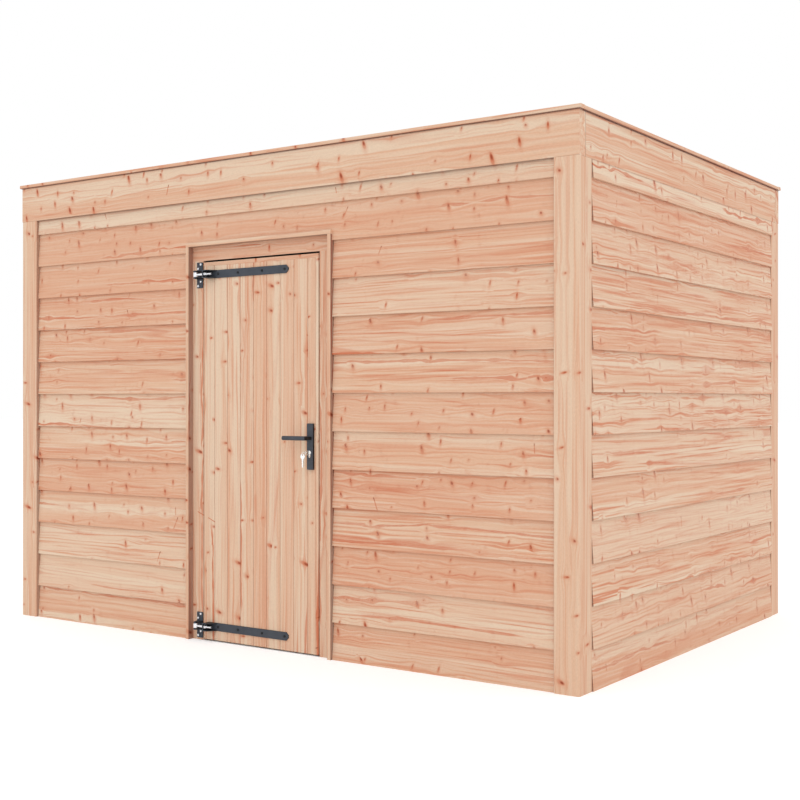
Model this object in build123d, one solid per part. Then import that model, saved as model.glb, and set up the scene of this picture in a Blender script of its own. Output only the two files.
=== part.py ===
from build123d import *
import os
from math import ceil

# A timber garden shed: four corner posts, lapped feather-edge boards, a flat roof behind fascias
# and one outward-opening plank door on adjustable strap hinges.
# Millimetres. The origin is on the ground at the middle of the four posts, +Z is up,
# the door wall faces -Y and +X runs along it.

# Overall sizes, measured over the corner posts
width = 3500
depth = 2500
height = 2430

# Corner posts
post = 120
post_ease = 7

# Fascia and the lath on top of it
fascia_thick = 28
fascia_high = 190
fascia_ease = 3
trim_thick = 18
trim_wide = 45
trim_overhang = 10
trim_ease = 5

# Roof timbers, deck and sheet
beam_thick = 70
beam_high = 145
joist_thick = 45
joist_spacing = 600
deck_thick = 18
sheet_thick = 2

# Lapped boards: thick lower edge, thin upper edge, flat back
board_wide = 195
board_lap = 16
board_thick = 27
board_thin = 12
lowest_lap_z = 175
front_board_set_back = 12
side_board_proud = 5.5

# Wall studs and rails behind the boards
stud_wide = 45
stud_deep = 70
stud_spacing = 800

# Doorway: a thin surround set edge-on, with a rebated frame inside it
door_centre_x = -7
casing_thick = 20
casing_span = 934
casing_ease = 2
over_door_high = 208
frame_set_back = 34
jamb_wide = 71
jamb_deep = 70
jamb_ease = 2
stop_wide = 12
stop_gap = 5.5
head_high = 72
seal_thick = 3
seal_set_back = 2
threshold_high = 2
threshold_nosing = 8

# Door leaf: planks edged with laths, on a braced frame
hinge_side_gap = 5.5
lock_side_gap = 7
top_gap = 8.5
bottom_gap = 5.2
plank_thick = 18
plank_pitch = 86
plank_count = 9
first_groove_from_leaf = 72
groove_wide = 6
groove_deep = 3.5
edge_lath = 18
top_lath = 20
lath_ease = 2
back_frame_thick = 27
back_frame_wide = 95
back_frame_inset = 6
middle_rail_z = 960

# Strap hinges: an eyebolt turns on a pin held by a plate on the jamb
hinge_from_leaf_bottom = 68.3
hinge_from_leaf_top = 63.5
pin_from_frame = 35
pin_from_opening = 19.5
pin_radius = 5
pin_fit = 0.05
pin_reach = 1.5
eye_radius = 11.5
eye_high = 28
eye_round = 7
ear_gap = 0.5
ear_thick = 5
ear_radius = 12
jamb_plate_wide = 40
jamb_plate_high = 130
jamb_plate_thick = 4
plate_corner = 3
bolt_radius = 6
bolt_long = 108
bolt_clearance = 0.3
collar_radius = 7.5
collar_long = 7
washer_radius = 12
washer_thick = 2.5
nut_flats = 19
nut_thick = 11
lug_from_pin = 58
lug_thick = 5
channel_projects = 50
channel_nose = 26
channel_long = 62
channel_thick = 4
strap_wide = 40
strap_thick = 5
strap_end_from_pin = 583
strap_chamfer = 14

# Lock furniture: long plates with a hipped boss, lever pair and key cylinder
lock_from_edge = 43
lock_plate_wide = 37
lock_plate_high = 220
lock_plate_thick = 11
lock_plate_bottom_z = 885
lock_plate_ease = 3
boss_high = 52
boss_bevel = 7
boss_proud = 3
boss_below_barrel = 8
lever_z = 1035
lever_radius = 10.5
lever_long = 131
lever_from_leaf = 55
lever_fit = 0.05
lever_end_ease = 1.5
spindle_side = 8
spindle_hole_radius = 11
cylinder_below_lever = 68
cylinder_radius = 8.5
cylinder_web = 10
cylinder_drop = 19.5
cylinder_clearance = 0.3

# Keys: one in the cylinder, one hanging from it on a ring
key_thick = 2.4
key_bow_radius = 13
key_shoulder = 19.5
key_neck_wide = 18
key_blade_long = 33
key_blade_wide = 8.5
key_hole_radius = 4.2
key_hole_from_rim = 5.5
key_notch = 1.6
key_notch_count = 5
keyway_clearance = 0.3
ring_radius = 11
ring_wire = 1
ring_from_hole = Vector(-7.12, -6.76, -2.55)
ring_axis = Vector(0.45, -0.15, -0.88)
ring_slack = 0.25

# Places worked out from the sizes above
front = -depth / 2
side = width / 2
wall_top = height - trim_thick - fascia_high
fascia_top = wall_top + fascia_high
casing_top_z = wall_top - over_door_high
deck_z = wall_top + beam_high
board_exposure = board_wide - board_lap
board_slope = (board_thick - board_thin) / board_wide
front_board_back = front_board_set_back + board_thick
side_board_back = board_thick - side_board_proud

casing_half = casing_span / 2
casing_low = door_centre_x - casing_half
casing_high = door_centre_x + casing_half
opening_half = casing_half - casing_thick - jamb_wide
head_z = casing_top_z - casing_thick - head_high
frame_y = front + frame_set_back
frame_back = frame_y + jamb_deep
leaf_low = door_centre_x - opening_half + hinge_side_gap
leaf_high = door_centre_x + opening_half - lock_side_gap
leaf_z = threshold_high + bottom_gap
leaf_top = head_z - top_gap
plank_back = frame_y + plank_thick
leaf_back = plank_back + back_frame_thick
plank_top = leaf_top - top_lath
stop_y = leaf_back + stop_gap
hinge_z = (leaf_z + hinge_from_leaf_bottom, leaf_top - hinge_from_leaf_top)

pin_x = door_centre_x - opening_half - pin_from_opening
pin_y = frame_y - pin_from_frame
lock_x = leaf_high - lock_from_edge
cylinder_z = lever_z - cylinder_below_lever
cylinder_proud = lock_plate_thick + boss_proud


def block(x0, x1, y0, y1, z0, z1):
    """A square-edged timber or plate between two corners."""
    box = Box(x1 - x0, y1 - y0, z1 - z0, align=(Align.MIN, Align.MIN, Align.MIN))
    return Pos(x0, y0, z0) * box


def eased(shape, axis, radius):
    """The shape with its long edges along the axis rounded."""
    return fillet(shape.edges().filter_by(axis), radius)


def lap_heights(z_from, z_to):
    """Heights of the board lower edges between two levels."""
    first = ceil((z_from - lowest_lap_z) / board_exposure)
    last = ceil((z_to - lowest_lap_z) / board_exposure)
    laps = [lowest_lap_z + board_exposure * row for row in range(first, last)]
    return [z for z in laps if z_from < z < z_to]


def board_thickness(z, lap):
    """Thickness of the board at a height, above its own lower edge."""
    return board_thick - board_slope * (z - lap)


def board_panel(length, z_from, z_to):
    """Lapped boards as one saw-toothed panel, back at y = 0, facing -Y, centred on x = 0."""
    laps = lap_heights(z_from, z_to)
    first_lap = lowest_lap_z + board_exposure * (ceil((z_from - lowest_lap_z) / board_exposure) - 1)
    if z_from in laps:
        first_lap = z_from
    points = [(0, z_from), (-board_thickness(z_from, first_lap), z_from)]
    lap = first_lap
    for z in laps:
        points.append((-board_thickness(z, lap), z))
        points.append((-board_thick, z))
        lap = z
    points.append((-board_thickness(z_to, lap), z_to))
    points.append((0, z_to))
    profile = Plane.YZ * Polygon(*points, align=None)
    return extrude(profile, amount=length / 2, both=True)


def spread(low, high, thick, spacing):
    """Low faces of evenly spaced timbers, one at each end of the stretch."""
    bays = max(1, ceil((high - low - thick) / spacing))
    pitch = (high - low - thick) / bays
    return [low + pitch * number for number in range(bays + 1)]


def corner_post(x_sign, y_sign):
    """One square post with rounded arrises, from the ground to the fascia."""
    timber = Box(post, post, wall_top, align=(Align.CENTER, Align.CENTER, Align.MIN))
    timber = eased(timber, Axis.Z, post_ease)
    return Pos(x_sign * (side - post / 2), y_sign * (depth / 2 - post / 2), 0) * timber


def fascia_board(long_way, sign):
    """One fascia board, flush with the post faces."""
    if long_way:
        low = sign * depth / 2 - (fascia_thick if sign > 0 else 0)
        board = block(-side, side, low, low + fascia_thick, wall_top, fascia_top)
        return eased(board, Axis.X, fascia_ease)
    inner = depth / 2 - fascia_thick
    low = sign * side - (fascia_thick if sign > 0 else 0)
    board = block(low, low + fascia_thick, -inner, inner, wall_top, fascia_top)
    return eased(board, Axis.Y, fascia_ease)


def trim_laths(long_way):
    """The two laths on top of the fascias that run the same way."""
    laths = Part()
    inner = depth / 2 + trim_overhang - trim_wide
    for sign in (-1, 1):
        if long_way:
            edge = depth / 2 + trim_overhang
            low = -edge if sign < 0 else edge - trim_wide
            end = side + trim_overhang
            lath = block(-end, end, low, low + trim_wide, fascia_top, height)
            laths += eased(lath, Axis.X, trim_ease)
        else:
            edge = side + trim_overhang
            low = -edge if sign < 0 else edge - trim_wide
            lath = block(low, low + trim_wide, -inner, inner, fascia_top, height)
            laths += eased(lath, Axis.Y, trim_ease)
    return laths


def ring_beams(long_way):
    """The two beams on top of the posts that run the same way, behind the fascias."""
    beams = Part()
    outer_x = side - fascia_thick
    outer_y = depth / 2 - fascia_thick
    inner_y = outer_y - beam_thick
    for sign in (-1, 1):
        if long_way:
            low = -outer_y if sign < 0 else inner_y
            beams += block(-outer_x, outer_x, low, low + beam_thick, wall_top, deck_z)
        else:
            low = -outer_x if sign < 0 else outer_x - beam_thick
            beams += block(low, low + beam_thick, -inner_y, inner_y, wall_top, deck_z)
    return beams


def roof_joists():
    """Joists from the front beam to the rear beam, under the deck."""
    joists = Part()
    inner_x = side - fascia_thick - beam_thick
    inner_y = depth / 2 - fascia_thick - beam_thick
    places = spread(-inner_x - joist_thick, inner_x + joist_thick, joist_thick, joist_spacing)
    for x in places[1:-1]:
        joists += block(x, x + joist_thick, -inner_y, inner_y, wall_top, deck_z)
    return joists


def roof_deck():
    """The boarded deck inside the fascias."""
    x = side - fascia_thick
    y = depth / 2 - fascia_thick
    return block(-x, x, -y, y, deck_z, deck_z + deck_thick)


def roof_sheet():
    """The rubber sheet on the deck, turned up behind the fascias to the laths."""
    x = side - fascia_thick
    y = depth / 2 - fascia_thick
    z = deck_z + deck_thick
    tray = block(-x, x, -y, y, z, fascia_top)
    hollow = block(
        -x + sheet_thick, x - sheet_thick, -y + sheet_thick, y - sheet_thick, z + sheet_thick, fascia_top
    )
    return tray - hollow


def wall_boards(x0, x1, z_from=0):
    """Boards of the door wall between two places."""
    panel = board_panel(x1 - x0, z_from, wall_top)
    return Pos((x0 + x1) / 2, front + front_board_back, 0) * panel


def rear_boards():
    """Boards of the rear wall, between the posts."""
    panel = board_panel(width - 2 * post, 0, wall_top)
    return Pos(0, depth / 2 - front_board_back, 0) * Rot(0, 0, 180) * panel


def side_boards(sign):
    """Boards of one side wall, between the posts."""
    panel = board_panel(depth - 2 * post, 0, wall_top)
    return Pos(sign * (side - side_board_back), 0, 0) * Rot(0, 0, 90 * sign) * panel


def wall_studs():
    """Upright timbers behind the boards, between the bottom and top rails."""
    studs = Part()
    z0 = stud_wide
    z1 = wall_top - stud_wide
    inner_x = side - post
    inner_y = depth / 2 - post
    y = front + front_board_back
    for low, high in ((-inner_x, casing_low), (casing_high, inner_x)):
        for x in spread(low, high, stud_wide, stud_spacing):
            studs += block(x, x + stud_wide, y, y + stud_deep, z0, z1)
    for x in spread(-inner_x, inner_x, stud_wide, stud_spacing):
        studs += block(x, x + stud_wide, -y - stud_deep, -y, z0, z1)
    for low in spread(-inner_y, inner_y, stud_wide, stud_spacing):
        x = side - side_board_back
        studs += block(-x, -x + stud_deep, low, low + stud_wide, z0, z1)
        studs += block(x - stud_deep, x, low, low + stud_wide, z0, z1)
    return studs


def wall_rails():
    """Bottom and top rails of the walls, with one rail over the doorway."""
    rails = Part()
    inner_x = side - post
    inner_y = depth / 2 - post
    y = front + front_board_back
    x = side - side_board_back
    for z in (0, wall_top - stud_wide):
        top = z + stud_wide
        rails += block(-inner_x, inner_x, -y - stud_deep, -y, z, top)
        rails += block(-x, -x + stud_deep, -inner_y, inner_y, z, top)
        rails += block(x - stud_deep, x, -inner_y, inner_y, z, top)
    rails += block(-inner_x, casing_low, y, y + stud_deep, 0, stud_wide)
    rails += block(casing_high, inner_x, y, y + stud_deep, 0, stud_wide)
    rails += block(-inner_x, inner_x, y, y + stud_deep, wall_top - stud_wide, wall_top)
    rails += block(casing_low, casing_high, y, y + stud_deep, casing_top_z, casing_top_z + stud_wide)
    return rails


def casing_sides():
    """The two upright boards of the surround, set edge-on."""
    top = casing_top_z - casing_thick
    boards = Part()
    for low in (casing_low, casing_high - casing_thick):
        board = block(low, low + casing_thick, front, frame_back, 0, top)
        boards += eased(board, Axis.Z, casing_ease)
    return boards


def casing_head():
    """The board over the surround, lying on its two sides."""
    z = casing_top_z - casing_thick
    board = block(casing_low, casing_high, front, frame_back, z, casing_top_z)
    return eased(board, Axis.X, casing_ease)


def door_jamb(sign):
    """One upright of the door frame, from the ground to the head, rebated to leave the stop."""
    outer = casing_half - casing_thick
    bar = block(opening_half, outer, frame_y, frame_back, 0, head_z)
    bar += block(opening_half - stop_wide, opening_half, stop_y, frame_back, 0, head_z)
    front_edges = bar.edges().filter_by(Axis.Z).sort_by(Axis.Y)[:2]
    bar = fillet(front_edges.sort_by(Axis.X)[0], jamb_ease)
    if sign < 0:
        bar = mirror(bar, Plane.YZ)
    return Pos(door_centre_x, 0, 0) * bar


def head_seal():
    """Rubber let into the underside of the head and down the front of its stop."""
    inner = opening_half - stop_wide
    top = block(
        door_centre_x - opening_half,
        door_centre_x + opening_half,
        frame_y + seal_set_back,
        stop_y + seal_thick,
        head_z,
        head_z + seal_thick,
    )
    lip = block(
        door_centre_x - inner,
        door_centre_x + inner,
        stop_y,
        stop_y + seal_thick,
        head_z - stop_wide,
        head_z,
    )
    return top + lip


def door_head():
    """The head of the door frame, lying on the jambs under the surround, cut back for its seal."""
    half = casing_half - casing_thick
    inner = opening_half - stop_wide
    low = door_centre_x - half
    high = door_centre_x + half
    body = block(low, high, frame_y, frame_back, head_z, head_z + head_high)
    stop = block(
        door_centre_x - inner, door_centre_x + inner, stop_y, frame_back, head_z - stop_wide, head_z
    )
    return body + stop - head_seal()


def threshold():
    """A flat strip on the ground across the doorway, from just in front of the leaf to the stops."""
    low = door_centre_x - opening_half
    return block(low, low + 2 * opening_half, frame_y - threshold_nosing, stop_y, 0, threshold_high)


def cylinder_profile(clearance=0.0):
    """Key cylinder section: a round barrel over a narrow rounded web."""
    barrel = Circle(cylinder_radius + clearance)
    web = Pos(0, -cylinder_drop / 2) * Rectangle(cylinder_web + 2 * clearance, cylinder_drop)
    foot = Pos(0, -cylinder_drop) * Circle(cylinder_web / 2 + clearance)
    return Plane.XZ * (barrel + web + foot)


def cylinder_body(y0, y1, clearance=0.0):
    """The cylinder section between two depths, at the lock."""
    body = extrude(cylinder_profile(clearance), amount=-(y1 - y0))
    return Pos(lock_x, y0, cylinder_z) * body


def round_bar_y(x, z, radius, y0, y1):
    """A round bar or hole along Y."""
    bar = Cylinder(radius, y1 - y0, align=(Align.CENTER, Align.CENTER, Align.MIN))
    return Pos(x, y0, z) * Rot(-90, 0, 0) * bar


def lock_holes():
    """Holes through the leaf for the lever spindle and the cylinder."""
    spindle = round_bar_y(lock_x, lever_z, spindle_hole_radius, frame_y, leaf_back)
    return spindle + cylinder_body(frame_y, leaf_back, cylinder_clearance)


def door_planks():
    """Upright tongued planks with a V groove at each joint, front and back."""
    low = leaf_low + edge_lath
    high = leaf_high - edge_lath
    first_joint = leaf_low + first_groove_from_leaf
    joints = [first_joint + plank_pitch * number for number in range(plank_count - 1)]
    front_line = [(low, frame_y)]
    back_line = [(low, plank_back)]
    for x in joints:
        for across, sunk in ((-groove_wide / 2, 0), (0, groove_deep), (groove_wide / 2, 0)):
            front_line.append((x + across, frame_y + sunk))
            back_line.append((x + across, plank_back - sunk))
    front_line.append((high, frame_y))
    back_line.append((high, plank_back))
    outline = Polygon(*front_line, *reversed(back_line), align=None)
    boards = extrude(Pos(0, 0, leaf_z) * outline, amount=plank_top - leaf_z)
    return boards - lock_holes()


def edge_laths():
    """Laths with rounded arrises down both edges of the planks."""
    laths = Part()
    for low in (leaf_low, leaf_high - edge_lath):
        lath = block(low, low + edge_lath, frame_y, plank_back, leaf_z, plank_top)
        laths += eased(lath, Axis.Z, lath_ease)
    return laths


def top_edge_lath():
    """The lath across the top of the planks."""
    lath = block(leaf_low, leaf_high, frame_y, plank_back, plank_top, leaf_top)
    return eased(lath, Axis.X, lath_ease)


def back_stiles():
    """Upright members behind the planks, set in from the leaf edges."""
    z0 = leaf_z + back_frame_inset
    z1 = leaf_top - back_frame_inset
    left = leaf_low + back_frame_inset
    right = leaf_high - back_frame_inset
    stiles = block(left, left + back_frame_wide, plank_back, leaf_back, z0, z1)
    stiles += block(right - back_frame_wide, right, plank_back, leaf_back, z0, z1)
    return stiles - lock_holes()


def rail_levels():
    """Low faces of the bottom, middle and top rails behind the planks."""
    low = leaf_z + back_frame_inset
    high = leaf_top - back_frame_inset - back_frame_wide
    return (low, middle_rail_z - back_frame_wide / 2, high)


def back_rails():
    """Rails between the stiles."""
    x0 = leaf_low + back_frame_inset + back_frame_wide
    x1 = leaf_high - back_frame_inset - back_frame_wide
    rails = Part()
    for z in rail_levels():
        rails += block(x0, x1, plank_back, leaf_back, z, z + back_frame_wide)
    return rails


def back_braces():
    """Diagonal braces that rise from the hinge side, one in each bay."""
    x0 = leaf_low + back_frame_inset + back_frame_wide
    x1 = leaf_high - back_frame_inset - back_frame_wide
    levels = rail_levels()
    braces = Part()
    for low, high in zip(levels, levels[1:]):
        z0 = low + back_frame_wide
        z1 = high
        corner_points = [
            (x0, z0),
            (x0 + back_frame_wide, z0),
            (x1, z1 - back_frame_wide),
            (x1, z1),
            (x1 - back_frame_wide, z1),
            (x0, z0 + back_frame_wide),
        ]
        outline = Plane.XZ * Polygon(*corner_points, align=None)
        braces += Pos(0, plank_back, 0) * extrude(outline, amount=-back_frame_thick)
    return braces


def upright(radius, x, y, z0, z1):
    """A round bar or hole along Z."""
    bar = Cylinder(radius, z1 - z0, align=(Align.CENTER, Align.CENTER, Align.MIN))
    return Pos(x, y, z0) * bar


def hinge_bracket(z):
    """Plate on the jamb with two tapering ears that hold the pin above and below the eye."""
    inner = door_centre_x - opening_half
    outer = inner - jamb_plate_wide
    face = frame_y - jamb_plate_thick
    half = jamb_plate_high / 2
    plate = block(outer, inner, face, frame_y, z - half, z + half)
    bracket = eased(plate, Axis.Y, plate_corner)
    tongue_points = [
        (outer, face),
        (pin_x - ear_radius, pin_y),
        (pin_x + ear_radius, pin_y),
        (inner, face),
    ]
    tongue = extrude(Polygon(*tongue_points, align=None), amount=ear_thick)
    ear_from = eye_high / 2 + ear_gap
    for low in (z - ear_from - ear_thick, z + ear_from):
        bracket += Pos(0, 0, low) * tongue
        bracket += upright(ear_radius, pin_x, pin_y, low, low + ear_thick)
    reach = ear_from + ear_thick + pin_reach
    return bracket + upright(pin_radius, pin_x, pin_y, z - reach, z + reach)


def round_bar_x(radius, x0, x1, y, z):
    """A round bar or hole along X."""
    bar = Cylinder(radius, x1 - x0, align=(Align.CENTER, Align.CENTER, Align.MIN))
    return Pos(x0, y, z) * Rot(0, 90, 0) * bar


def hinge_eyebolt(z):
    """Rounded eye that turns on the pin, its shank, collar, washer and nut at the lug."""
    eye = upright(eye_radius, pin_x, pin_y, z - eye_high / 2, z + eye_high / 2)
    eye = fillet(eye.edges().filter_by(GeomType.CIRCLE), eye_round)
    lug_x = pin_x + lug_from_pin
    nut_x = lug_x + lug_thick + washer_thick
    bolt = eye + round_bar_x(bolt_radius, pin_x, pin_x + bolt_long, pin_y, z)
    bolt += round_bar_x(collar_radius, lug_x - collar_long, lug_x, pin_y, z)
    bolt += round_bar_x(washer_radius, lug_x + lug_thick, nut_x, pin_y, z)
    nut = extrude(RegularPolygon(nut_flats / 2, 6, major_radius=False), amount=nut_thick)
    bolt += Pos(nut_x, pin_y, z) * Rot(0, 90, 0) * nut
    hole = upright(pin_radius + pin_fit, pin_x, pin_y, z - eye_high, z + eye_high)
    return bolt - hole


def hinge_strap(z):
    """Long strap on the leaf; its open channel and lug hold the eyebolt."""
    x0 = pin_x + lug_from_pin
    x1 = pin_x + strap_end_from_pin
    half = strap_wide / 2
    outline = [
        (x0, -half),
        (x1 - strap_chamfer, -half),
        (x1, -half + strap_chamfer),
        (x1, half - strap_chamfer),
        (x1 - strap_chamfer, half),
        (x0, half),
    ]
    strap = extrude(Plane.XZ * Polygon(*outline, align=None), amount=strap_thick)
    strap = Pos(0, frame_y, z) * strap
    face = frame_y - strap_thick
    out = frame_y - channel_projects
    cheek_points = [(x0, face), (x0, out), (x0 + channel_nose, out), (x0 + channel_long, face)]
    cheek = extrude(Polygon(*cheek_points, align=None), amount=channel_thick)
    strap += Pos(0, 0, z + half - channel_thick) * cheek
    strap += Pos(0, 0, z - half) * cheek
    lug = block(x0, x0 + lug_thick, out, face, z - half, z + half)
    return strap + lug - round_bar_x(bolt_radius + bolt_clearance, x0, x0 + lug_thick, pin_y, z)


def lock_plate(y_face, outward):
    """A long plate with a hipped boss round the cylinder; outward is -1 outside, 1 inside."""
    top = lock_plate_bottom_z + lock_plate_high
    half = lock_plate_wide / 2
    y_out = y_face + outward * lock_plate_thick
    low, high = sorted((y_face, y_out))
    plate = block(lock_x - half, lock_x + half, low, high, lock_plate_bottom_z, top)
    plate = eased(plate, Axis.Y, lock_plate_ease)
    centre = Plane((lock_x, y_out, cylinder_z - boss_below_barrel), x_dir=(1, 0, 0), z_dir=(0, outward, 0))
    foot = centre * Rectangle(lock_plate_wide, boss_high)
    crown_size = (lock_plate_wide - 2 * boss_bevel, boss_high - 2 * boss_bevel)
    crown = centre.offset(boss_proud) * Rectangle(*crown_size)
    plate += loft([foot.face(), crown.face()])
    reach = lock_plate_thick + boss_proud
    bearing = round_bar_y(lock_x, lever_z, lever_radius + lever_fit, low - reach, high + reach)
    return plate - bearing - cylinder_body(low - reach, high + reach, cylinder_clearance)


def lever_arm(y_face, outward):
    """Neck and bar of one lever with a mitred corner, pointing to the hinge side."""
    start = y_face + outward * lock_plate_thick / 5
    bar_y = y_face + outward * lever_from_leaf
    corner = (lock_x, bar_y, lever_z)
    tip = (lock_x - lever_long, bar_y, lever_z)
    path = Polyline((lock_x, start, lever_z), corner, tip)
    section = Plane((lock_x, start, lever_z), z_dir=(0, outward, 0)) * Circle(lever_radius)
    arm = sweep(section, path=path, transition=Transition.RIGHT)
    return fillet(arm.edges().sort_by(Axis.X)[0], lever_end_ease)


def lever_pair():
    """Outside and inside levers joined by the square spindle."""
    half = spindle_side / 2
    levers = lever_arm(frame_y, -1) + lever_arm(leaf_back, 1)
    spindle = block(
        lock_x - half,
        lock_x + half,
        frame_y - lock_plate_thick / 2,
        leaf_back + lock_plate_thick / 2,
        lever_z - half,
        lever_z + half,
    )
    return levers + spindle


def key_blank():
    """A flat key in the XZ plane: bow centre at the origin, notched blade down, hole near the top."""
    half = key_blade_wide / 2
    neck_half = key_neck_wide / 2
    blade_top = -key_shoulder
    tip = blade_top - key_blade_long
    bow = Circle(key_bow_radius)
    neck = Polygon((-neck_half, 0), (-half, blade_top), (half, blade_top), (neck_half, 0), align=None)
    edge = [(half, blade_top)]
    pitch = key_blade_long / (key_notch_count + 1)
    for number in range(1, key_notch_count + 1):
        z = blade_top - pitch * number
        edge += [(half, z + pitch / 3), (half - key_notch, z), (half, z - pitch / 3)]
    point = [(half, tip + pitch / 3), (0, tip), (-half, tip + pitch / 3)]
    blade = Polygon((-half, blade_top), *edge, *point, align=None)
    hole = Pos(0, key_bow_radius - key_hole_from_rim) * Circle(key_hole_radius)
    outline = Plane.XZ * (bow + neck + blade - hole)
    return extrude(outline, amount=key_thick / 2, both=True)


def lock_key():
    """The key in the cylinder: bow outside, on edge, blade in the keyway."""
    bow_y = frame_y - cylinder_proud - key_shoulder
    return Pos(lock_x, bow_y, cylinder_z) * Rot(90, 0, 0) * Rot(0, 0, 90) * key_blank()


def ring_centre():
    """Centre of the ring, on one side of the hole in the bow of the key in the cylinder."""
    bow_y = frame_y - cylinder_proud - key_shoulder
    hole_y = bow_y - key_bow_radius + key_hole_from_rim
    return Vector(lock_x, hole_y, cylinder_z) + ring_from_hole


def key_ring():
    """A round wire ring through both bows."""
    return Plane(ring_centre(), z_dir=ring_axis) * Torus(ring_radius, ring_wire)


def hanging_key():
    """The second key, upright under the lowest point of the ring."""
    axis = ring_axis.normalized()
    down = Vector(0, 0, -1)
    lowest = (down - axis * down.dot(axis)).normalized()
    point = ring_centre() + lowest * ring_radius
    hole_below = key_hole_radius - ring_wire - ring_slack
    drop = hole_below + key_bow_radius - key_hole_from_rim
    return Pos(point.X, point.Y, point.Z - drop) * key_blank()


def key_cylinder():
    """The cylinder through both plates and the leaf, with the keyway that the blade fills."""
    body = cylinder_body(frame_y - cylinder_proud, leaf_back + cylinder_proud)
    half = key_thick / 2 + keyway_clearance
    half_wide = key_blade_wide / 2 + keyway_clearance
    face = frame_y - cylinder_proud
    deep = key_blade_long + keyway_clearance
    keyway = block(
        lock_x - half, lock_x + half, face, face + deep, cylinder_z - half_wide, cylinder_z + half_wide
    )
    return body - keyway


pieces = {
    "post_front_left": corner_post(-1, -1),
    "post_front_right": corner_post(1, -1),
    "post_rear_left": corner_post(-1, 1),
    "post_rear_right": corner_post(1, 1),
    "ring_beams_long": ring_beams(True),
    "ring_beams_short": ring_beams(False),
    "roof_joists": roof_joists(),
    "roof_deck": roof_deck(),
    "roof_sheet": roof_sheet(),
    "fascia_front": fascia_board(True, -1),
    "fascia_rear": fascia_board(True, 1),
    "fascia_left": fascia_board(False, -1),
    "fascia_right": fascia_board(False, 1),
    "trim_laths_long": trim_laths(True),
    "trim_laths_short": trim_laths(False),
    "boards_front_left": wall_boards(-side + post, casing_low),
    "boards_front_right": wall_boards(casing_high, side - post),
    "boards_over_door": wall_boards(casing_low, casing_high, casing_top_z),
    "boards_rear": rear_boards(),
    "boards_left": side_boards(-1),
    "boards_right": side_boards(1),
    "wall_studs": wall_studs(),
    "wall_rails": wall_rails(),
    "casing_sides": casing_sides(),
    "casing_head": casing_head(),
    "door_jamb_hinge_side": door_jamb(-1),
    "door_jamb_lock_side": door_jamb(1),
    "door_frame_head": door_head(),
    "door_head_seal": head_seal(),
    "threshold": threshold(),
    "hinge_brackets": Part() + [hinge_bracket(z) for z in hinge_z],
    "door_planks": door_planks(),
    "door_edge_laths": edge_laths(),
    "door_top_lath": top_edge_lath(),
    "door_stiles": back_stiles(),
    "door_rails": back_rails(),
    "door_braces": back_braces(),
    "hinge_straps": Part() + [hinge_strap(z) for z in hinge_z],
    "hinge_eyebolts": Part() + [hinge_eyebolt(z) for z in hinge_z],
    "lock_plate_outside": lock_plate(frame_y, -1),
    "lock_plate_inside": lock_plate(leaf_back, 1),
    "lock_cylinder": key_cylinder(),
    "keys": Part() + [lock_key(), key_ring(), hanging_key()],
    "lever_handle": lever_pair(),
}

os.makedirs("parts", exist_ok=True)
for name, shape in pieces.items():
    shape.label = name
    export_step(shape, f"parts/{name}.step")
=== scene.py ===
from math import radians

import bpy
import numpy as np
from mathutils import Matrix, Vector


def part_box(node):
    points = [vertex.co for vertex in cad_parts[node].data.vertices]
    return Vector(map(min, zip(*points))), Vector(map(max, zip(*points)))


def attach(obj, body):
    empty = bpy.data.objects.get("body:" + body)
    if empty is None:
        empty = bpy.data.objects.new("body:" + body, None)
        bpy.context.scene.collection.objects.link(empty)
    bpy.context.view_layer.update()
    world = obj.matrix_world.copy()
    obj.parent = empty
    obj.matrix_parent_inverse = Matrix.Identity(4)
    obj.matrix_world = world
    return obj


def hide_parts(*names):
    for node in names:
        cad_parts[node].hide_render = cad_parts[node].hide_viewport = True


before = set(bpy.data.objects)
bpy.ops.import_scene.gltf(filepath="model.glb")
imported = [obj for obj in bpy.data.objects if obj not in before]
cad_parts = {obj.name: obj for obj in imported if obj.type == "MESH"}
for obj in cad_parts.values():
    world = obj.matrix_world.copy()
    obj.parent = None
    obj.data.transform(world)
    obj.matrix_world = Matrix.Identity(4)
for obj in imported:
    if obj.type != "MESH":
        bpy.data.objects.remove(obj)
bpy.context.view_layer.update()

# ---------------------------------------------------------------- camera
# The view of the photograph: eye height 1.22 m, level, in front of the right-hand end of the door
# wall. Both vanishing points of the photograph lie on its horizon, which gives the lens.
def put(name, data):
    """A new object in the scene."""
    made = bpy.data.objects.new(name, data)
    bpy.context.scene.collection.objects.link(made)
    return made


view = bpy.data.cameras.new("view")
view.lens = 57.03
view.sensor_width = 36
camera = put("view", view)
camera.location = (4.109, -5.926, 1.2166)
camera.rotation_euler = (radians(90), 0, radians(34.82))
bpy.context.scene.camera = camera
bpy.context.scene.view_settings.view_transform = "Standard"


# ---------------------------------------------------------------- floor and light
# A white studio: an even white sky all round, a weak, large, soft lamp from the right of the door
# wall, and a white floor that keeps the shed's soft shadow.
def srgb(red, green, blue):
    """Linear values of a colour written in 0 to 255: each channel is raised by the sRGB curve."""
    channels = np.array((red, green, blue)) / 255
    linear = np.where(channels <= 0.04045, channels / 12.92, ((channels + 0.055) / 1.055) ** 2.4)
    return (*linear.tolist(), 1)


def feed(tree, socket, value):
    """Gives an input a plain value, or links it to the socket that brings one."""
    if isinstance(value, bpy.types.NodeSocket):
        tree.links.new(value, socket)
    else:
        socket.default_value = value


def add(tree, kind, *inputs, **settings):
    """One shader node. Settings are its fields; inputs are values or sockets, in socket order."""
    made = tree.nodes.new("ShaderNode" + kind)
    for field, value in settings.items():
        setattr(made, field, value)
    for socket, value in zip([s for s in made.inputs if s.enabled], inputs):
        feed(tree, socket, value)
    return made


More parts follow.
